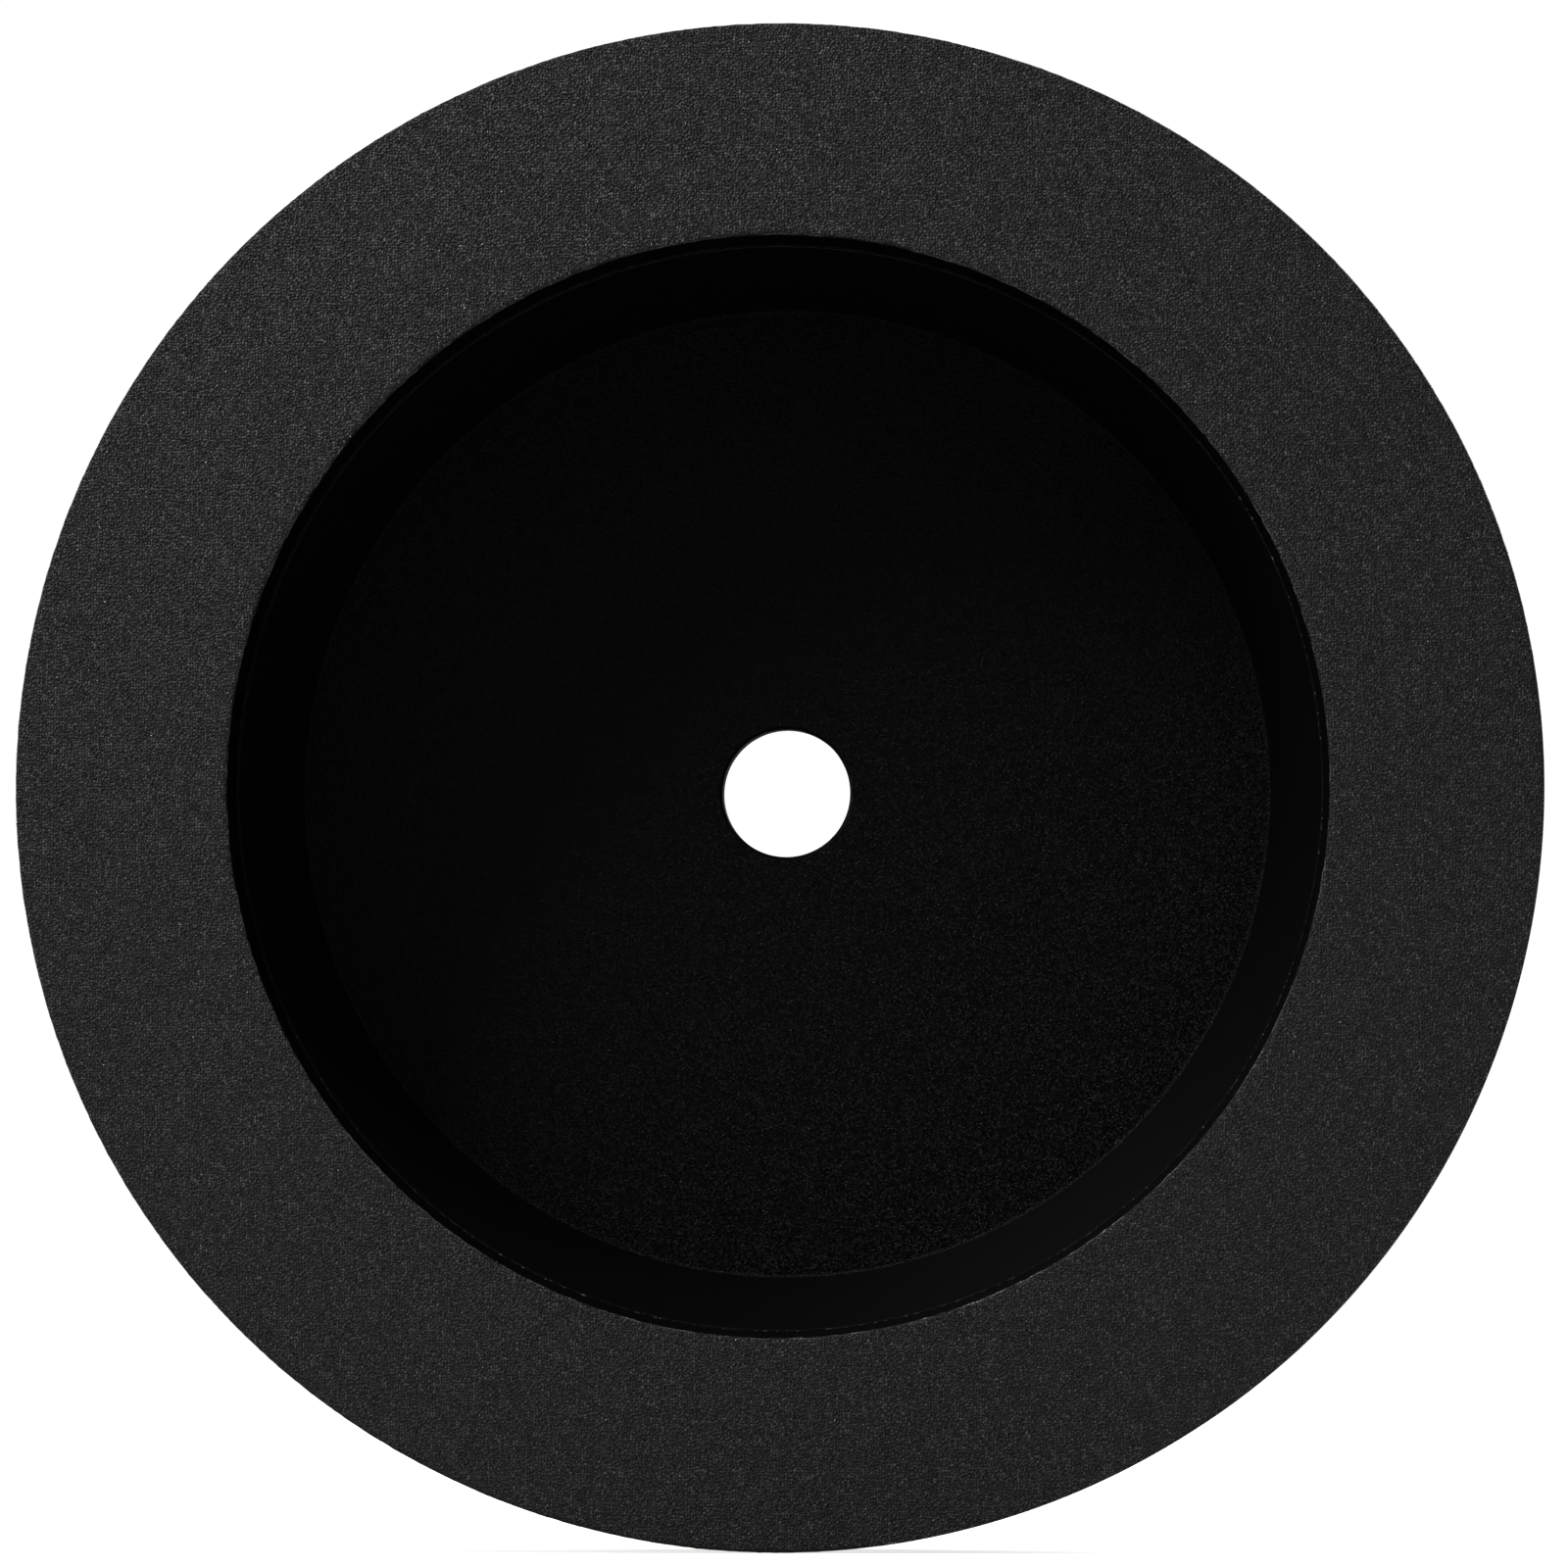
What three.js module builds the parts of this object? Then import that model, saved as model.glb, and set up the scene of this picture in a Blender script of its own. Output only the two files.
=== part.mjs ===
// Flat cup diamond grinding wheel for a half-inch lapidary arbor.
//
// Units are millimetres. The wheel spins about +Y, its grinding face looks along -Y and +Z is up.
// The origin is the centre of the wheel: on the arbor axis, halfway through its thickness.
//
// The wheel is three bonded pieces, all of them rings about the same axis:
//   wheel_body     turned and black anodised aluminium cup with a thin web and the arbor hole
//   backing_layer  bond without diamond, pressed into keying grooves in the body's seat
//   diamond_rim    the diamond-bearing layer, whose front is the grinding face
import * as THREE from "three";

// Driving dimensions.
const WHEEL_DIAMETER = 150;
const WHEEL_THICKNESS = 20;
const BORE_DIAMETER = 12.7;
const WEB_THICKNESS = 4;
const RECESS_FLOOR_DIAMETER = 96;
const RIM_WIDTH = 21;
const RIM_DEPTH = 3;
const BACKING_DEPTH = 1;

// Details.
const RIM_INNER_TAPER = 0.6; // how much the rim's inner wall closes in over its depth
const BACKING_LEDGE = 0.15; // the backing stands this far inside the rim above it
const FLOOR_FILLET = 0.4;
const FLOOR_FILLET_STEPS = 3;
const BORE_FRONT_CHAMFER = 0.3; // towards the recess
const BORE_BACK_CHAMFER = 0.8;
const BACK_EDGE_CHAMFER = 1.2;
const FACE_EDGE_CHAMFER = 0.3;
const KEY_GROOVE_RADII = [58.5, 64.2, 69.9]; // centre of each keying groove
const KEY_GROOVE_DEPTH = 1;
const KEY_GROOVE_MOUTH = 2.4;
const KEY_GROOVE_ROOT = 3; // wider than the mouth, so that the backing can't lift out
const SEGMENTS = 96; // facets round the axis, the same for every piece so that their joints match

// Levels along the axis, from the grinding face to the back.
const FACE_Y = -WHEEL_THICKNESS / 2;
const BACKING_Y = FACE_Y + RIM_DEPTH;
const SEAT_Y = BACKING_Y + BACKING_DEPTH;
const BACK_Y = WHEEL_THICKNESS / 2;
const FLOOR_Y = BACK_Y - WEB_THICKNESS;

// Radii.
const OUTER_R = WHEEL_DIAMETER / 2;
const BORE_R = BORE_DIAMETER / 2;
const FLOOR_R = RECESS_FLOOR_DIAMETER / 2;
const FACE_INNER_R = OUTER_R - RIM_WIDTH;
const RIM_ROOT_R = FACE_INNER_R - RIM_INNER_TAPER;
const MOUTH_R = RIM_ROOT_R - BACKING_LEDGE;

const ANODISED_BLACK = new THREE.MeshStandardMaterial({ color: 0x0d0d0e, roughness: 0.5, metalness: 0.6 });
const PLAIN_BOND = new THREE.MeshStandardMaterial({ color: 0x1b1b1c, roughness: 0.7, metalness: 0 });
const DIAMOND_BOND = new THREE.MeshStandardMaterial({ color: 0x2c2c2d, roughness: 0.85, metalness: 0 });

const at = (radius, y) => new THREE.Vector2(radius, y);

// A ring with the given cross-section, revolved about the arbor axis.
function ring(name, section, material) {
  const closed = [...section, section[0].clone()];
  const mesh = new THREE.Mesh(new THREE.LatheGeometry(closed, SEGMENTS), material);
  mesh.name = name;
  return mesh;
}

// The joint between body and backing, from the recess out to the rim's edge, with its dovetail grooves.
function seatProfile() {
  const grooves = KEY_GROOVE_RADII.flatMap((radius) => [
    at(radius - KEY_GROOVE_MOUTH / 2, SEAT_Y),
    at(radius - KEY_GROOVE_ROOT / 2, SEAT_Y + KEY_GROOVE_DEPTH),
    at(radius + KEY_GROOVE_ROOT / 2, SEAT_Y + KEY_GROOVE_DEPTH),
    at(radius + KEY_GROOVE_MOUTH / 2, SEAT_Y),
  ]);
  return [at(MOUTH_R, SEAT_Y), ...grooves, at(OUTER_R, SEAT_Y)];
}

// The fillet between the recess floor and its tapered wall, as points on an arc.
function floorFillet() {
  const wallAngle = Math.atan2(FLOOR_Y - SEAT_Y, MOUTH_R - FLOOR_R); // the wall's slope above the floor
  const setback = FLOOR_FILLET * Math.tan(wallAngle / 2);
  const centre = at(FLOOR_R - setback, FLOOR_Y - FLOOR_FILLET);
  return Array.from({ length: FLOOR_FILLET_STEPS + 1 }, (_, i) => {
    const turn = (wallAngle * i) / FLOOR_FILLET_STEPS;
    return at(centre.x + FLOOR_FILLET * Math.sin(turn), centre.y + FLOOR_FILLET * Math.cos(turn));
  });
}

function wheelBody() {
  const section = [
    at(BORE_R + BORE_FRONT_CHAMFER, FLOOR_Y),
    ...floorFillet(),
    ...seatProfile(),
    at(OUTER_R, BACK_Y - BACK_EDGE_CHAMFER),
    at(OUTER_R - BACK_EDGE_CHAMFER, BACK_Y),
    at(BORE_R + BORE_BACK_CHAMFER, BACK_Y),
    at(BORE_R, BACK_Y - BORE_BACK_CHAMFER),
    at(BORE_R, FLOOR_Y + BORE_FRONT_CHAMFER),
  ];
  return ring("wheel_body", section, ANODISED_BLACK);
}

function backingLayer() {
  const section = [at(MOUTH_R, BACKING_Y), at(OUTER_R, BACKING_Y), ...seatProfile().reverse()];
  return ring("backing_layer", section, PLAIN_BOND);
}

function diamondRim() {
  const section = [
    at(FACE_INNER_R, FACE_Y),
    at(OUTER_R - FACE_EDGE_CHAMFER, FACE_Y),
    at(OUTER_R, FACE_Y + FACE_EDGE_CHAMFER),
    at(OUTER_R, BACKING_Y),
    at(RIM_ROOT_R, BACKING_Y),
  ];
  return ring("diamond_rim", section, DIAMOND_BOND);
}

const wheel = new THREE.Group();
wheel.add(wheelBody(), backingLayer(), diamondRim());

export default wheel;
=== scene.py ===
"""Flat cup diamond grinding wheel, built round its CAD frame.

Everything is in metres. The wheel spins about +Y, its grinding face looks along -Y and +Z is up. It
stands on its edge on a pale sweep. It is a turned body, a thin backing layer, a diamond rim, and the grit
in that rim.
"""

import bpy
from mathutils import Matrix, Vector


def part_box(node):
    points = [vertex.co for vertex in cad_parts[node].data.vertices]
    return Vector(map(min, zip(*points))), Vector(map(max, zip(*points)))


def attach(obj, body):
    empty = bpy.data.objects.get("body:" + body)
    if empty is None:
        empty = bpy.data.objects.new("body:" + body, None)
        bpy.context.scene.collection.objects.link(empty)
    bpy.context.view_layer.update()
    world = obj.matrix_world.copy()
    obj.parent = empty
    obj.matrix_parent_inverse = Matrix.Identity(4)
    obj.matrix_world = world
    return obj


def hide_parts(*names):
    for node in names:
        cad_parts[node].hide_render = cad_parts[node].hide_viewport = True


bl_info = {
    "name": "Diamond Grinding Wheel",
    "version": (1, 0, 0),
    "blender": (4, 5, 0),
    "location": "3D View > Sidebar > Grinding Wheel",
    "description": "Builds a flat cup diamond grinding wheel and the studio it stands in",
    "category": "Add Mesh",
}

import math

import bmesh
import bpy
from bpy.props import FloatProperty, FloatVectorProperty, IntProperty, PointerProperty
from mathutils import Vector

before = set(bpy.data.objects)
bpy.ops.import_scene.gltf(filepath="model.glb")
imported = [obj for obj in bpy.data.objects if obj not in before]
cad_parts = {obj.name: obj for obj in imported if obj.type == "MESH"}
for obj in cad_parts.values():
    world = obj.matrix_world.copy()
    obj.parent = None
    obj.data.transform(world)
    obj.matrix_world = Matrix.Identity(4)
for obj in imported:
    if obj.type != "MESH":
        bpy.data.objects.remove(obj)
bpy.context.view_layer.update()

MM = 0.001
BODY_LOW, BODY_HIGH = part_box("wheel_body")
RIM_LOW, RIM_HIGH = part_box("diamond_rim")

# Levels along the arbor axis, from the grinding face to the back, and the outside of the wheel.
FACE_Y = RIM_LOW.y
BACKING_Y = RIM_HIGH.y
SEAT_Y = BODY_LOW.y
BACK_Y = BODY_HIGH.y
OUTER_R = BODY_HIGH.x
GROUND_Z = BODY_LOW.z  # the wheel stands on its edge

TOUCH = 0.002 * MM  # two places closer than this are the same place


def linear(hex_value):
    """The linear RGB of an sRGB hex value."""
    parts = [((hex_value >> shift) & 255) / 255 for shift in (16, 8, 0)]
    return [p / 12.92 if p <= 0.04045 else ((p + 0.055) / 1.055) ** 2.4 for p in parts]


def size(name, description, default):
    return FloatProperty(
        name=name, description=description, default=default, min=0, unit="LENGTH", precision=5
    )


def colour(name, description, default):
    return FloatVectorProperty(
        name=name, description=description, default=linear(default), min=0, max=1, size=3, subtype="COLOR"
    )


class WheelSizes(bpy.types.PropertyGroup):
    """Sizes of the wheel that its overall box doesn't give."""

    bore_radius: size("Bore radius", "Radius of the arbor hole", 6.35 * MM)
    bore_front_chamfer: size("Bore front chamfer", "Chamfer of the hole towards the recess", 0.3 * MM)
    bore_back_chamfer: size("Bore back chamfer", "Chamfer of the hole at the back", 0.8 * MM)
    web: size("Web", "Thickness of the body between the recess and the back", 4 * MM)
    floor_radius: size("Recess floor radius", "Radius of the flat floor of the recess", 48 * MM)
    floor_fillet: size("Floor fillet", "Width of the fillet round the recess floor", 0.26 * MM)
    back_chamfer: size("Back chamfer", "Chamfer round the back of the body", 1.2 * MM)
    rim_width: size("Rim width", "Width of the grinding face", 21 * MM)
    rim_taper: size("Rim taper", "How much the rim's inner wall closes in over its depth", 0.6 * MM)
    rim_chamfer: size("Rim chamfer", "Width of the worn outer edge of the grinding face", 0.3 * MM)
    ledge: size("Backing ledge", "How far the backing stands inside the rim above it", 0.15 * MM)
    ledge_round: size("Ledge rounding", "Width of the rounding on the backing's inner edge", 0.12 * MM)
    edge_round: size("Edge rounding", "Width of the rounding on turned edges", 0.1 * MM)
    mouth_round: size("Mouth rounding", "Width of the broken inner edge of the grinding face", 0.2 * MM)
    relief: size("Bond relief", "How deep the bond is worn between its grains", 0.1 * MM)
    coarse_grain: size("Coarse grain", "Radius of the largest of the coarse diamond grains", 0.17 * MM)
    fine_grain: size("Fine grain", "Radius of the largest of the fine diamond grains", 0.13 * MM)
    grain_gap: size("Grain gap", "Least distance between two proud grains of a size", 0.6 * MM)
    body_segments: IntProperty(
        name="Body segments", description="Facets round the body", default=288, min=12
    )
    rim_segments: IntProperty(
        name="Rim segments", description="Facets round the backing and the rim", default=1152, min=12
    )


class WheelColours(bpy.types.PropertyGroup):
    """Colours of the wheel's finishes."""

    anodised: colour("Anodised", "Black anodised aluminium", 0x08080A)
    etched: colour("Etched", "Etched and black anodised walls of the recess and the bore", 0x070708)
    lacquer: colour("Lacquer", "Black lacquer on the sides of the rim", 0x050506)
    bond: colour("Bond", "Resin bond between the diamond grains", 0x363637)
    pale_grain: colour("Pale grain", "The palest grains level with the bond", 0x48484A)
    broken_bond: colour("Broken bond", "Fresh bond along the broken inner edge", 0x636364)
    backing: colour("Backing", "Bond without diamond", 0x0B0B0C)
    grit: colour("Grit", "Diamond grains that stand proud", 0x343436)
    sweep: colour("Sweep", "Paper of the studio sweep", 0xF4F4F2)


# ---------------------------------------------------------------------------------------------- materials

# Sockets of a Mix node set to colours.
MIX_FACTOR, MIX_A, MIX_B, MIX_RESULT = 0, 6, 7, 2


def add_node(tree, kind, inputs=(), **settings):
    """Adds a node with its settings. An input given as a socket is linked, and any other is a value."""
    made = tree.nodes.new(kind)
    for name, value in settings.items():
        setattr(made, name, value)
    for name, value in dict(inputs).items():
        if isinstance(value, bpy.types.NodeSocket):
            tree.links.new(value, made.inputs[name])
        else:
            made.inputs[name].default_value = value
    return made


def empty_material(name):
    """A node material with nothing in it but its output."""
    material = bpy.data.materials.new(name)
    material.use_nodes = True
    material.node_tree.nodes.clear()
    return material, material.node_tree, material.node_tree.nodes.new("ShaderNodeOutputMaterial")


def tilted_facets(tree, cells, spread):
    """The surface's normal, turned by chance in each cell, as the faces of broken grains are."""
    upright = add_node(tree, "ShaderNodeNewGeometry").outputs["Normal"]
    chance = add_node(
        tree, "ShaderNodeVectorMath", {0: cells.outputs["Color"], 1: (0.5, 0.5, 0.5)}, operation="SUBTRACT"
    )
    tilt = add_node(
        tree, "ShaderNodeVectorMath", {0: chance.outputs["Vector"], 1: (spread,) * 3, 2: upright},
        operation="MULTIPLY_ADD",
    )
    return add_node(
        tree, "ShaderNodeVectorMath", {0: tilt.outputs["Vector"]}, operation="NORMALIZE"
    ).outputs["Vector"]


BOND_GRAIN = 0.28 * MM  # about 50 grit
BOND_MOTTLE = 4 * MM


def dressed_resin_bond(colours):
    """Resin bond full of diamond, dressed flat: dull, dark, and grained so that low light catches it."""
    material, tree, output = empty_material("dressed_resin_bond")
    place = add_node(tree, "ShaderNodeTexCoord").outputs["Object"]
    grains = add_node(tree, "ShaderNodeTexVoronoi", {"Vector": place, "Scale": 1 / BOND_GRAIN}, feature="F1")
    chance = add_node(tree, "ShaderNodeSeparateColor", {"Color": grains.outputs["Color"]})
    pale = add_node(
        tree, "ShaderNodeMapRange", {"Value": chance.outputs["Green"], "From Min": 0.5, "From Max": 1.0}
    )
    grain_colour = add_node(
        tree, "ShaderNodeMix",
        {MIX_FACTOR: pale.outputs["Result"], MIX_A: (*colours.bond, 1), MIX_B: (*colours.pale_grain, 1)},
        data_type="RGBA",
    )
    mottle = add_node(tree, "ShaderNodeTexNoise", {"Vector": place, "Scale": 1 / BOND_MOTTLE, "Detail": 3.0})
    shade = add_node(
        tree, "ShaderNodeMapRange", {"Value": mottle.outputs["Fac"], "To Min": 0.97, "To Max": 1.03}
    )
    tone = add_node(
        tree, "ShaderNodeVectorMath",
        {0: grain_colour.outputs[MIX_RESULT], "Scale": shade.outputs["Result"]}, operation="SCALE",
    )
    rough = add_node(
        tree, "ShaderNodeMapRange", {"Value": chance.outputs["Green"], "To Min": 0.7, "To Max": 0.4}
    )
    raised = add_node(
        tree, "ShaderNodeBump",
        {
            "Strength": 1.0, "Distance": -0.29 * MM, "Height": grains.outputs["Distance"],
            "Normal": tilted_facets(tree, grains, 1.08),
        },
    )
    skin = add_node(
        tree, "ShaderNodeBsdfPrincipled",
        {
            "Base Color": tone.outputs["Vector"], "Roughness": rough.outputs["Result"], "IOR": 1.5,
            "Specular IOR Level": 0.3, "Normal": raised.outputs["Normal"],
        },
    )
    tree.links.new(skin.outputs["BSDF"], output.inputs["Surface"])
    return material


EDGE_BREAK = 3 * MM  # usual length of a broken stretch of the edge


def broken_resin_bond(colours):
    """Bond crumbled off along an edge: black, with paler stretches of fresh bond that glint in dashes."""
    material, tree, output = empty_material("broken_resin_bond")
    place = add_node(tree, "ShaderNodeTexCoord").outputs["Object"]
    crumbs = add_node(tree, "ShaderNodeTexNoise", {"Vector": place, "Scale": 1 / BOND_GRAIN, "Detail": 2.0})
    broken = add_node(
        tree, "ShaderNodeBump", {"Strength": 1.0, "Distance": 0.1 * MM, "Height": crumbs.outputs["Fac"]}
    )
    stretches = add_node(
        tree, "ShaderNodeTexNoise", {"Vector": place, "Scale": 1 / EDGE_BREAK, "Detail": 4.0}
    )
    fresh = add_node(
        tree, "ShaderNodeMapRange", {"Value": stretches.outputs["Fac"], "From Min": 0.45, "From Max": 0.58}
    )
    tone = add_node(
        tree, "ShaderNodeMix",
        {
            MIX_FACTOR: fresh.outputs["Result"],
            MIX_A: (*colours.lacquer, 1), MIX_B: (*colours.broken_bond, 1),
        },
        data_type="RGBA",
    )
    rough = add_node(
        tree, "ShaderNodeMapRange", {"Value": fresh.outputs["Result"], "To Min": 0.8, "To Max": 0.25}
    )
    skin = add_node(
        tree, "ShaderNodeBsdfPrincipled",
        {
            "Base Color": tone.outputs[MIX_RESULT], "Roughness": rough.outputs["Result"], "IOR": 1.5,
            "Normal": broken.outputs["Normal"],
        },
    )
    tree.links.new(skin.outputs["BSDF"], output.inputs["Surface"])
    return material


def black_lacquer(colours):
    """Sprayed lacquer over coarse bond: near black, with a dull sheen and the grain softly showing."""
    material, tree, output = empty_material("black_lacquer")
    place = add_node(tree, "ShaderNodeTexCoord").outputs["Object"]
    lump = add_node(tree, "ShaderNodeTexNoise", {"Vector": place, "Scale": 1 / BOND_GRAIN, "Detail": 2.0})
    softened = add_node(
        tree, "ShaderNodeBump", {"Strength": 1.0, "Distance": 0.05 * MM, "Height": lump.outputs["Fac"]}
    )
    rough = add_node(
        tree, "ShaderNodeMapRange", {"Value": lump.outputs["Fac"], "To Min": 0.38, "To Max": 0.6}
    )
    skin = add_node(
        tree, "ShaderNodeBsdfPrincipled",
        {
            "Base Color": (*colours.lacquer, 1), "Roughness": rough.outputs["Result"], "IOR": 1.5,
            "Specular IOR Level": 0.1, "Normal": softened.outputs["Normal"],
        },
    )
    tree.links.new(skin.outputs["BSDF"], output.inputs["Surface"])
    return material


CRUMB = 0.22 * MM  # size of the grains of its filler


def plain_bond(colours):
    """Bond pressed without diamond: nearly black and crumbly, so that its edge glitters in dots."""
    material, tree, output = empty_material("plain_bond")
    place = add_node(tree, "ShaderNodeTexCoord").outputs["Object"]
    crumbs = add_node(tree, "ShaderNodeTexVoronoi", {"Vector": place, "Scale": 1 / CRUMB}, feature="F1")
    chance = add_node(tree, "ShaderNodeSeparateColor", {"Color": crumbs.outputs["Color"]})
    rough = add_node(
        tree, "ShaderNodeMapRange", {"Value": chance.outputs["Green"], "To Min": 0.6, "To Max": 0.28}
    )
    skin = add_node(
        tree, "ShaderNodeBsdfPrincipled",
        {
            "Base Color": (*colours.backing, 1), "Roughness": rough.outputs["Result"], "IOR": 1.5,
            "Specular IOR Level": 0.2, "Normal": tilted_facets(tree, crumbs, 1.1),
        },
    )
    tree.links.new(skin.outputs["BSDF"], output.inputs["Surface"])
    return material


def diamond_grit(colours):
    """Diamond grains: grey, hard edged and so refractive that any facet that meets the light flashes."""
    material, tree, output = empty_material("diamond_grit")
    skin = add_node(
        tree, "ShaderNodeBsdfPrincipled",
        {"Base Color": (*colours.grit, 1), "Roughness": 0.35, "IOR": 2.42, "Specular IOR Level": 0.2},
    )
    tree.links.new(skin.outputs["BSDF"], output.inputs["Surface"])
    return material


BLAST_PIT = 0.16 * MM  # about twice as coarse as blasting leaves, so that the pits show


def blasted_anodised_aluminium(colours):
    """Grit-blasted and anodised black: matt and nearly lightless, with sparks off the walls of pits."""
    material, tree, output = empty_material("blasted_anodised_aluminium")
    place = add_node(tree, "ShaderNodeTexCoord").outputs["Object"]
    pits = add_node(tree, "ShaderNodeTexVoronoi", {"Vector": place, "Scale": 1 / BLAST_PIT}, feature="F1")
    chance = add_node(tree, "ShaderNodeSeparateColor", {"Color": pits.outputs["Color"]})
    rough = add_node(
        tree, "ShaderNodeMapRange", {"Value": chance.outputs["Green"], "To Min": 0.35, "To Max": 0.7}
    )
    pitted = add_node(
        tree, "ShaderNodeBump",
        {
            "Strength": 1.0, "Distance": 0.06 * MM, "Height": pits.outputs["Distance"],
            "Normal": tilted_facets(tree, pits, 0.85),
        },
    )
    skin = add_node(
        tree, "ShaderNodeBsdfPrincipled",
        {
            "Base Color": (*colours.anodised, 1), "Roughness": rough.outputs["Result"], "IOR": 1.5,
            "Specular IOR Level": 0.16, "Normal": pitted.outputs["Normal"],
        },
    )
    tree.links.new(skin.outputs["BSDF"], output.inputs["Surface"])
    return material


ETCH_BLOOM = 1.5 * MM


def etched_anodised_aluminium(colours):
    """Etched smooth, then anodised black: an even matt with no tool marks and hardly any highlight."""
    material, tree, output = empty_material("etched_anodised_aluminium")
    place = add_node(tree, "ShaderNodeTexCoord").outputs["Object"]
    bloom = add_node(tree, "ShaderNodeTexNoise", {"Vector": place, "Scale": 1 / ETCH_BLOOM, "Detail": 4.0})
    rough = add_node(
        tree, "ShaderNodeMapRange", {"Value": bloom.outputs["Fac"], "To Min": 0.5, "To Max": 0.7}
    )
    grain = add_node(
        tree, "ShaderNodeBump", {"Strength": 1.0, "Distance": 0.02 * MM, "Height": bloom.outputs["Fac"]}
    )
    skin = add_node(
        tree, "ShaderNodeBsdfPrincipled",
        {
            "Base Color": (*colours.etched, 1), "Roughness": rough.outputs["Result"], "IOR": 1.5,
            "Specular IOR Level": 0.05, "Normal": grain.outputs["Normal"],
        },
    )
    tree.links.new(skin.outputs["BSDF"], output.inputs["Surface"])
    return material


TURNING_BAND = 0.8 * MM  # several turns of the tool, which is as fine as rings show from arm's length


def turned_anodised_aluminium(colours):
    """Turned and anodised black: satin, with fine rings that spread a highlight into a fan."""
    material, tree, output = empty_material("turned_anodised_aluminium")
    place = add_node(tree, "ShaderNodeTexCoord").outputs["Object"]
    flat = add_node(tree, "ShaderNodeVectorMath", {0: place, 1: (1, 0, 1)}, operation="MULTIPLY")
    radius = add_node(tree, "ShaderNodeVectorMath", {0: flat.outputs["Vector"]}, operation="LENGTH")
    level = add_node(tree, "ShaderNodeSeparateXYZ", {"Vector": place})
    along = add_node(tree, "ShaderNodeMath", {0: radius.outputs["Value"], 1: level.outputs["Y"]})
    rings = add_node(
        tree, "ShaderNodeTexNoise",
        {"W": along.outputs["Value"], "Scale": 1 / TURNING_BAND, "Detail": 4.0}, noise_dimensions="1D",
    )
    scored = add_node(
        tree, "ShaderNodeBump", {"Strength": 1.0, "Distance": 0.022 * MM, "Height": rings.outputs["Fac"]}
    )
    rough = add_node(
        tree, "ShaderNodeMapRange",
        {"Value": rings.outputs["Fac"], "From Min": 0.3, "From Max": 0.7, "To Min": 0.24, "To Max": 0.46},
    )
    skin = add_node(
        tree, "ShaderNodeBsdfPrincipled",
        {
            "Base Color": (*colours.anodised, 1), "Roughness": rough.outputs["Result"], "IOR": 1.5,
            "Specular IOR Level": 0.4, "Normal": scored.outputs["Normal"],
        },
    )
    tree.links.new(skin.outputs["BSDF"], output.inputs["Surface"])
    return material


def sweep_paper(colours):
    """Matt white paper with a painted glow that only the camera sees, weaker near the wheel and stronger far
    from it, so that it stays pale behind a black object; light bounces off it as off dim grey paper.
    """
    material, tree, output = empty_material("sweep_paper")
    place = add_node(tree, "ShaderNodeTexCoord").outputs["Object"]
    away = add_node(tree, "ShaderNodeVectorMath", {0: place, 1: (0, 0, GROUND_Z)}, operation="DISTANCE")
    # Painted light: the strength of the glow that only the camera sees, from 0.85 at the wheel's edge to 1.1
    # six wheel radii off, so the far paper stays white however little lamp light reaches it.
    lit = add_node(
        tree, "ShaderNodeMapRange",
        {
            "Value": away.outputs["Value"], "From Min": OUTER_R, "From Max": 6 * OUTER_R,
            "To Min": 0.85, "To Max": 1.1,
        },
    )
    paper = add_node(tree, "ShaderNodeBsdfDiffuse", {"Color": (*colours.sweep, 1)})
    glow = add_node(
        tree, "ShaderNodeEmission", {"Color": (*colours.sweep, 1), "Strength": lit.outputs["Result"]}
    )
    seen = add_node(tree, "ShaderNodeAddShader", {0: paper.outputs["BSDF"], 1: glow.outputs["Emission"]})
    dim = add_node(tree, "ShaderNodeBsdfDiffuse", {"Color": (0.4, 0.4, 0.4, 1)})
    path = add_node(tree, "ShaderNodeLightPath")
    split = add_node(
        tree, "ShaderNodeMixShader",
        {0: path.outputs["Is Camera Ray"], 1: dim.outputs["BSDF"], 2: seen.outputs["Shader"]},
    )
    tree.links.new(split.outputs["Shader"], output.inputs["Surface"])
    return material


# ---------------------------------------------------------------------------------------------- modelling


def trace_section(name, corners):
    """A closed cross-section through (radius, level) corners, drawn by extruding a point along them."""
    bpy.ops.object.select_all(action="DESELECT")
    bpy.ops.mesh.primitive_plane_add(size=MM, enter_editmode=True)
    bpy.ops.mesh.select_mode(type="VERT")
    bpy.ops.mesh.select_all(action="SELECT")
    bpy.ops.mesh.merge(type="CENTER")
    bpy.ops.transform.translate(value=(*corners[0], 0))
    for before, after in zip(corners, corners[1:]):
        step = (after[0] - before[0], after[1] - before[1], 0)
        bpy.ops.mesh.extrude_vertices_move(TRANSFORM_OT_translate={"value": step})
    piece = bpy.context.object
    piece.name = piece.data.name = name
    select_verts(piece, lambda co: near(co, corners[0]) or near(co, corners[-1]))
    bpy.ops.mesh.edge_face_add()
    return piece


def near(co, corner):
    """Whether a point lies on the circle of that radius at that level."""
    return math.hypot(radius_of(co) - corner[0], co.y - corner[1]) < TOUCH


def select_verts(piece, test):
    """Selects the vertices that pass the test, with the edges and faces between them."""
    bpy.ops.mesh.select_mode(type="VERT")
    bpy.ops.mesh.select_all(action="DESELECT")
    mesh = bmesh.from_edit_mesh(piece.data)
    for vert in mesh.verts:
        vert.select = test(vert.co)
    mesh.select_flush_mode()
    bmesh.update_edit_mesh(piece.data)


def select_edges(piece, test):
    """Selects the edges that pass the test of their two ends."""
    bpy.ops.mesh.select_mode(type="EDGE")
    bpy.ops.mesh.select_all(action="DESELECT")
    mesh = bmesh.from_edit_mesh(piece.data)
    for edge in mesh.edges:
        edge.select = test(edge.verts[0].co, edge.verts[1].co)
    mesh.select_flush_mode()
    bmesh.update_edit_mesh(piece.data)


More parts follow.
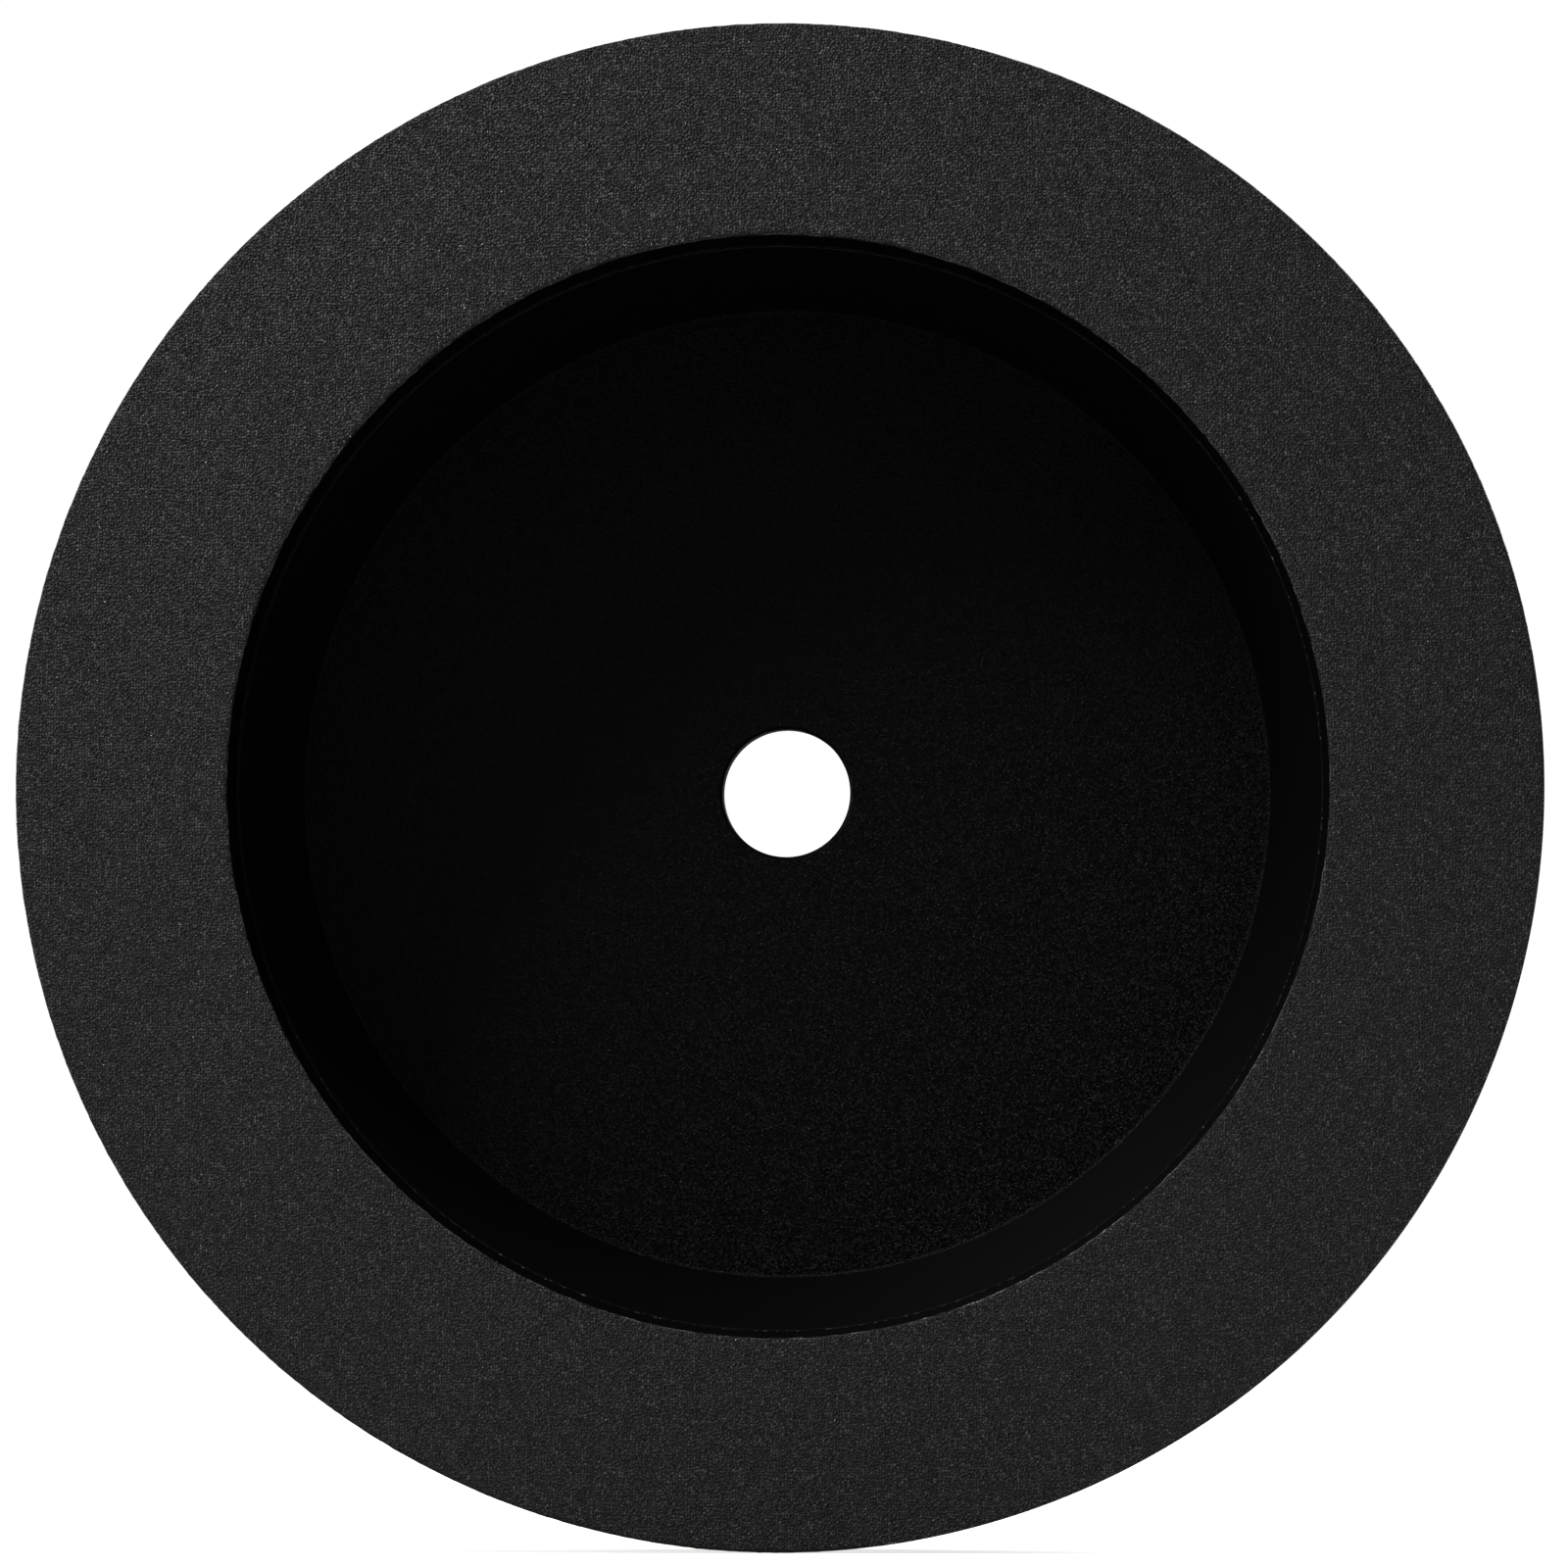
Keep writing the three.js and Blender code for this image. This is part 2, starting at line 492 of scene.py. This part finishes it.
def spin_section(segments):
    """Turns the section being edited into a closed ring about the arbor axis."""
    bpy.ops.mesh.select_all(action="SELECT")
    bpy.ops.mesh.spin(steps=segments, angle=math.tau, center=(0, 0, 0), axis=(0, 1, 0))
    bpy.ops.mesh.select_all(action="SELECT")
    bpy.ops.mesh.remove_doubles(threshold=TOUCH)
    bpy.ops.mesh.normals_make_consistent(inside=False)


def round_edges(piece, corners, width, segments=2):
    """Rounds the circular edges at those corners of the section."""
    select_edges(piece, lambda a, b: any(near(a, c) and near(b, c) for c in corners))
    bpy.ops.mesh.bevel(offset=width, segments=segments, affect="EDGES")


SHARPEST_SMOOTH = math.radians(28)  # a steeper fold than this is shaded as an edge


def finish_piece(piece, node):
    """Shades the piece and ties it to the frame in place of its CAD node."""
    bpy.ops.object.shade_smooth_by_angle(angle=SHARPEST_SMOOTH)
    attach(piece, "root")
    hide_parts(node)


def paint(piece, materials, choose):
    """Gives the piece its materials and each face the one that choose picks from its middle and normal."""
    for material in materials:
        piece.data.materials.append(material)
    for face in piece.data.polygons:
        face.material_index = choose(face.center, face.normal)


def radius_of(co):
    """Distance of a point from the arbor axis."""
    return math.hypot(co.x, co.z)


# Keying grooves in the body's seat, which hold the backing: the middle of each, and their dovetail section.
KEY_RADII = [58.5 * MM, 64.2 * MM, 69.9 * MM]
KEY_DEPTH = 1 * MM
KEY_MOUTH = 2.4 * MM
KEY_ROOT = 3 * MM


def mouth_radius(sizes):
    """Radius of the recess where the backing and the body meet."""
    return OUTER_R - sizes.rim_width - sizes.rim_taper - sizes.ledge


def seat_section(sizes):
    """The joint between body and backing, from the recess out to the rim's edge."""
    points = [(mouth_radius(sizes), SEAT_Y)]
    for middle in KEY_RADII:
        points += [
            (middle - KEY_MOUTH / 2, SEAT_Y),
            (middle - KEY_ROOT / 2, SEAT_Y + KEY_DEPTH),
            (middle + KEY_ROOT / 2, SEAT_Y + KEY_DEPTH),
            (middle + KEY_MOUTH / 2, SEAT_Y),
        ]
    return points + [(OUTER_R, SEAT_Y)]


# Places of the body's finishes and of the rim's in the lists that they are painted from.
TURNED, BLASTED, ETCHED = 0, 1, 2
DRESSED, LACQUERED, BROKEN = 0, 1, 2


class WHEEL_OT_body(bpy.types.Operator):
    """Turns the cup-shaped body, with its thin web, arbor hole and keying grooves"""

    bl_idname = "wheel.body"
    bl_label = "Body"

    def execute(self, context):
        sizes, colours = context.scene.wheel_sizes, context.scene.wheel_colours
        bore, floor_y = sizes.bore_radius, BACK_Y - sizes.web
        front, back, rear = sizes.bore_front_chamfer, sizes.bore_back_chamfer, sizes.back_chamfer
        floor_edge = (sizes.floor_radius, floor_y)
        seat = seat_section(sizes)
        machined = [
            (OUTER_R, BACK_Y - rear), (OUTER_R - rear, BACK_Y),
            (bore + back, BACK_Y), (bore, BACK_Y - back),
            (bore, floor_y + front), (bore + front, floor_y),
        ]
        piece = trace_section("body", [floor_edge, *seat, *machined])
        spin_section(sizes.body_segments)
        round_edges(piece, [floor_edge], sizes.floor_fillet, segments=6)
        round_edges(piece, [seat[0], seat[-1], *machined[:4]], sizes.edge_round)
        bpy.ops.object.mode_set(mode="OBJECT")

        def finish_of(middle, normal):
            if radius_of(middle) < bore + back:
                return ETCHED
            if middle.y > floor_y + TOUCH or radius_of(middle) > mouth_radius(sizes):
                return TURNED
            return BLASTED if middle.y > floor_y - sizes.floor_fillet else ETCHED

        paint(
            piece,
            [
                turned_anodised_aluminium(colours), blasted_anodised_aluminium(colours),
                etched_anodised_aluminium(colours),
            ],
            finish_of,
        )
        finish_piece(piece, "wheel_body")
        return {"FINISHED"}


FINE_WEAR = 0.5 * MM  # usual width of the hollows worn between grains


def wear_surface(piece, name, kind, weights, depth, scale):
    """Wears a surface inwards by up to depth, in a pattern of that scale, where the vertex group allows."""
    group = piece.vertex_groups.new(name=name)
    for vert in piece.data.vertices:
        weight = weights(vert.co)
        if weight > 0:
            group.add([vert.index], weight, "REPLACE")
    texture = bpy.data.textures.new(name, type=kind)
    texture.noise_scale = scale
    bpy.ops.object.modifier_add(type="DISPLACE")
    wear = piece.modifiers[-1]
    wear.texture = texture
    wear.texture_coords = "LOCAL"
    wear.vertex_group = name
    wear.mid_level = 1.0
    wear.strength = depth
    bpy.ops.object.modifier_apply(modifier=wear.name)


class WHEEL_OT_backing(bpy.types.Operator):
    """Presses the backing layer into the body's keying grooves"""

    bl_idname = "wheel.backing"
    bl_label = "Backing layer"

    def execute(self, context):
        sizes, colours = context.scene.wheel_sizes, context.scene.wheel_colours
        inner, outer = (mouth_radius(sizes), BACKING_Y), (OUTER_R, BACKING_Y)
        piece = trace_section("backing", [inner, outer, *reversed(seat_section(sizes))])
        spin_section(sizes.rim_segments)
        round_edges(piece, [inner], sizes.ledge_round, segments=3)
        round_edges(piece, [outer], sizes.edge_round / 2)
        bpy.ops.object.mode_set(mode="OBJECT")

        def on_ledge(co):
            return int(radius_of(co) < inner[0] + sizes.ledge_round)

        wear_surface(piece, "ledge_chips", "CLOUDS", on_ledge, sizes.ledge, FINE_WEAR)
        paint(piece, [plain_bond(colours)], lambda middle, normal: 0)
        finish_piece(piece, "backing_layer")
        return {"FINISHED"}


# Cuts across the grinding face and down the rim's sides, fine enough to show the wear. Only an edge
# longer than FACE_SPAN lies across the face.
FACE_CUTS = 60
WALL_CUTS = 7
FACE_SPAN = 5 * MM

WIDE_WEAR = 2.5 * MM  # usual width of a worn patch
EDGE_CHIP = 0.8 * MM  # usual width of a chip off the mouth's edge
CHIP_REACH = 0.35 * MM  # chips stay this close to that edge

# The rim's sides begin to be worn this far from its root, and are fully worn after the fade.
WEAR_START = 0.12 * MM
WEAR_FADE = 0.6 * MM

# The least Y of a normal where the rim is lacquered, and where its mouth is broken.
LACQUER_FROM = -0.45
BROKEN_FROM = -0.85


class WHEEL_OT_rim(bpy.types.Operator):
    """Forms the diamond rim, its grinding face worn down between the grains and its inner edge chipped"""

    bl_idname = "wheel.rim"
    bl_label = "Diamond rim"

    def execute(self, context):
        sizes, colours = context.scene.wheel_sizes, context.scene.wheel_colours
        inner_r = OUTER_R - sizes.rim_width
        inner_edge = (inner_r, FACE_Y)
        outer_edge = (OUTER_R, FACE_Y)
        outer_root = (OUTER_R, BACKING_Y)
        inner_root = (inner_r - sizes.rim_taper, BACKING_Y)
        piece = trace_section("diamond_rim_bond", [inner_edge, outer_edge, outer_root, inner_root])
        spin_section(sizes.rim_segments)
        round_edges(piece, [outer_edge], sizes.rim_chamfer)
        round_edges(piece, [inner_edge], sizes.mouth_round, segments=3)
        round_edges(piece, [inner_root, outer_root], sizes.edge_round / 2, segments=1)

        def spans_face(a, b):
            return max(abs(a.y - FACE_Y), abs(b.y - FACE_Y)) < TOUCH and (a - b).length > FACE_SPAN

        select_edges(piece, spans_face)
        bpy.ops.mesh.subdivide(number_cuts=FACE_CUTS)
        select_edges(piece, lambda a, b: abs(a.y - b.y) > (BACKING_Y - FACE_Y) / 2)
        bpy.ops.mesh.subdivide(number_cuts=WALL_CUTS)
        bpy.ops.object.mode_set(mode="OBJECT")

        def worn(co):
            return min(1, max(0, (BACKING_Y - co.y - WEAR_START) / WEAR_FADE))

        def chipped(co):
            return max(0, 1 - math.hypot(radius_of(co) - inner_r, co.y - FACE_Y) / CHIP_REACH)

        wear_surface(piece, "grain_wear", "CLOUDS", worn, sizes.relief, FINE_WEAR)
        wear_surface(piece, "patch_wear", "CLOUDS", worn, sizes.relief / 4, WIDE_WEAR)
        wear_surface(piece, "edge_chips", "VORONOI", chipped, sizes.relief * 2, EDGE_CHIP)

        def finish_of(middle, normal):
            at_mouth = max(radius_of(middle) - inner_r, middle.y - FACE_Y) < sizes.mouth_round
            if at_mouth and normal.y > BROKEN_FROM:
                return BROKEN
            return LACQUERED if normal.y > LACQUER_FROM else DRESSED

        paint(
            piece,
            [dressed_resin_bond(colours), black_lacquer(colours), broken_resin_bond(colours)],
            finish_of,
        )
        finish_piece(piece, "diamond_rim")
        return {"FINISHED"}


LEAST_GROWTH = 0.55  # the smallest grain's size against the largest's


def scatter_tree(grain, gap, seed):
    """Geometry nodes that strew copies of a grain over a surface, each turned and sized by chance."""
    tree = bpy.data.node_groups.new("strew_grains", "GeometryNodeTree")
    tree.interface.new_socket("Geometry", in_out="INPUT", socket_type="NodeSocketGeometry")
    tree.interface.new_socket("Geometry", in_out="OUTPUT", socket_type="NodeSocketGeometry")
    source = add_node(tree, "NodeGroupInput")
    points = add_node(
        tree, "GeometryNodeDistributePointsOnFaces",
        {"Mesh": source.outputs[0], "Distance Min": gap, "Density Max": 2 / gap**2, "Seed": seed},
        distribute_method="POISSON",
    )
    shape = add_node(tree, "GeometryNodeObjectInfo", {"Object": grain})
    turn = add_node(
        tree, "FunctionNodeRandomValue", {0: (0, 0, 0), 1: (math.tau,) * 3, "Seed": 1},
        data_type="FLOAT_VECTOR",
    )
    growth = add_node(
        tree, "FunctionNodeRandomValue", {0: (LEAST_GROWTH,) * 3, 1: (1, 1, 1), "Seed": 2},
        data_type="FLOAT_VECTOR",
    )
    grains = add_node(
        tree, "GeometryNodeInstanceOnPoints",
        {
            "Points": points.outputs["Points"], "Instance": shape.outputs["Geometry"],
            "Rotation": turn.outputs["Value"], "Scale": growth.outputs["Value"],
        },
    )
    solid = add_node(tree, "GeometryNodeRealizeInstances", {"Geometry": grains.outputs["Instances"]})
    add_node(tree, "NodeGroupOutput", {"Geometry": solid.outputs["Geometry"]})
    return tree


def strew_grit(name, radius, seed, sizes, material):
    """Strews diamond grains of one size over the grinding face, none of them higher than the face itself."""
    bpy.ops.object.select_all(action="DESELECT")
    bpy.ops.mesh.primitive_uv_sphere_add(segments=4, ring_count=2, radius=radius)
    grain = bpy.context.object

    edge = sizes.rim_chamfer + radius
    bpy.ops.object.select_all(action="DESELECT")
    bpy.ops.mesh.primitive_circle_add(
        vertices=sizes.body_segments, radius=OUTER_R - edge, fill_type="NGON",
        location=(0, FACE_Y + radius, 0), rotation=(math.pi / 2, 0, 0), enter_editmode=True,
    )
    piece = bpy.context.object
    piece.name = piece.data.name = name
    bpy.ops.mesh.inset(thickness=sizes.rim_width - sizes.mouth_round - radius - edge)
    bpy.ops.mesh.delete(type="ONLY_FACE")
    bpy.ops.object.mode_set(mode="OBJECT")
    bpy.ops.object.transform_apply(location=True, rotation=True, scale=True)
    strew = piece.modifiers.new("strew", "NODES")
    strew.node_group = scatter_tree(grain, sizes.grain_gap, seed)
    bpy.ops.object.modifier_apply(modifier=strew.name)
    bpy.data.objects.remove(grain)
    piece.data.materials.clear()
    piece.data.materials.append(material)
    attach(piece, "root")


COARSE_SEED = 7
FINE_SEED = 8


class WHEEL_OT_grit(bpy.types.Operator):
    """Strews the diamond grains that stand proud of the bond, in two sizes"""

    bl_idname = "wheel.grit"
    bl_label = "Diamond grit"

    def execute(self, context):
        sizes = context.scene.wheel_sizes
        material = diamond_grit(context.scene.wheel_colours)
        strew_grit("coarse_grit", sizes.coarse_grain, COARSE_SEED, sizes, material)
        strew_grit("fine_grit", sizes.fine_grain, FINE_SEED, sizes, material)
        return {"FINISHED"}


# ---------------------------------------------------------------------------------------------- studio


def soft_light(name, place, aim, width, power):
    """A square soft light at a place, turned towards a point."""
    bpy.ops.object.light_add(type="AREA", location=place)
    lamp = bpy.context.object
    lamp.name = lamp.data.name = name
    lamp.data.shape = "SQUARE"
    lamp.data.size = width
    lamp.data.energy = power
    lamp.visible_camera = False
    lamp.rotation_euler = (Vector(aim) - Vector(place)).to_track_quat("-Z", "Y").to_euler()


def light_tent(scene):
    """A white room to look at, whose light on the wheel is soft and dim, and dimmest from straight ahead."""
    world = bpy.data.worlds.new("studio")
    scene.world = world
    world.use_nodes = True
    tree = world.node_tree
    tree.nodes.clear()
    white = add_node(tree, "ShaderNodeBackground", {"Color": (1, 1, 1, 1), "Strength": 1.05})
    heading = add_node(tree, "ShaderNodeTexCoord").outputs["Generated"]
    ahead = add_node(tree, "ShaderNodeVectorMath", {0: heading, 1: (0, -1, 0)}, operation="DOT_PRODUCT")
    tent = add_node(
        tree, "ShaderNodeMapRange",
        {
            "Value": ahead.outputs["Value"], "From Min": 0.7, "From Max": 0.9,
            "To Min": 0.19, "To Max": 0.02,
        },
    )
    room = add_node(
        tree, "ShaderNodeBackground", {"Color": (1, 1, 1, 1), "Strength": tent.outputs["Result"]}
    )
    path = add_node(tree, "ShaderNodeLightPath")
    split = add_node(
        tree, "ShaderNodeMixShader",
        {0: path.outputs["Is Camera Ray"], 1: room.outputs["Background"], 2: white.outputs["Background"]},
    )
    add_node(tree, "ShaderNodeOutputWorld", {"Surface": split.outputs["Shader"]})


SWEEP_SIZE = 6

# The camera stands to the right of the wheel and a little below its centre, a metre off.
EYE = Vector((0.061, -1.010, -0.050))
TARGET = Vector((0.00075, FACE_Y, 0.0001))
LENS_MM = 235.4


class WHEEL_OT_stage(bpy.types.Operator):
    """Lays the pale sweep and sets the soft lights and the camera"""

    bl_idname = "wheel.stage"
    bl_label = "Studio"

    def execute(self, context):
        scene, colours = context.scene, context.scene.wheel_colours
        bpy.ops.object.select_all(action="DESELECT")
        bpy.ops.mesh.primitive_grid_add(
            x_subdivisions=8, y_subdivisions=8, size=SWEEP_SIZE, location=(0, 0, GROUND_Z)
        )
        sweep = context.object
        sweep.name = sweep.data.name = "sweep"
        bpy.ops.object.transform_apply(location=True, rotation=True, scale=True)
        sweep.data.materials.append(sweep_paper(colours))

        middle = (0, 0, 0)
        soft_light("key", (-0.206, -0.091, 0.295), middle, 0.085, 0.86)
        soft_light("fill", (-0.45, -0.85, 0.75), middle, 1.0, 0.4)
        soft_light("rear", (0.45, 0.75, 0.45), middle, 0.5, 6)
        soft_light("rear_low", (-0.6, 0.5, 0.1), middle, 0.4, 4)

        light_tent(scene)
        scene.view_settings.view_transform = "Standard"

        aim = (TARGET - EYE).to_track_quat("-Z", "Y").to_euler()
        bpy.ops.object.camera_add(location=EYE, rotation=aim)
        camera = context.object
        camera.name = camera.data.name = "front_camera"
        camera.data.lens = LENS_MM
        camera.data.clip_start = 0.01
        scene.camera = camera
        return {"FINISHED"}


class VIEW3D_PT_grinding_wheel(bpy.types.Panel):
    """Sizes, colours and building steps of the grinding wheel"""

    bl_idname = "VIEW3D_PT_grinding_wheel"
    bl_label = "Grinding Wheel"
    bl_space_type = "VIEW_3D"
    bl_region_type = "UI"
    bl_category = "Grinding Wheel"

    def draw(self, context):
        for group in (context.scene.wheel_sizes, context.scene.wheel_colours):
            box = self.layout.box()
            for name in group.__annotations__:
                box.prop(group, name)
        for operator in OPERATORS:
            self.layout.operator(operator.bl_idname)


OPERATORS = (WHEEL_OT_body, WHEEL_OT_backing, WHEEL_OT_rim, WHEEL_OT_grit, WHEEL_OT_stage)
CLASSES = (WheelSizes, WheelColours, *OPERATORS, VIEW3D_PT_grinding_wheel)


def register():
    for cls in CLASSES:
        bpy.utils.register_class(cls)
    bpy.types.Scene.wheel_sizes = PointerProperty(type=WheelSizes)
    bpy.types.Scene.wheel_colours = PointerProperty(type=WheelColours)


def unregister():
    del bpy.types.Scene.wheel_colours
    del bpy.types.Scene.wheel_sizes
    for cls in reversed(CLASSES):
        bpy.utils.unregister_class(cls)


def main():
    register()
    bpy.ops.wheel.body()
    bpy.ops.wheel.backing()
    bpy.ops.wheel.rim()
    bpy.ops.wheel.grit()
    bpy.ops.wheel.stage()


if __name__ == "__main__":
    main()
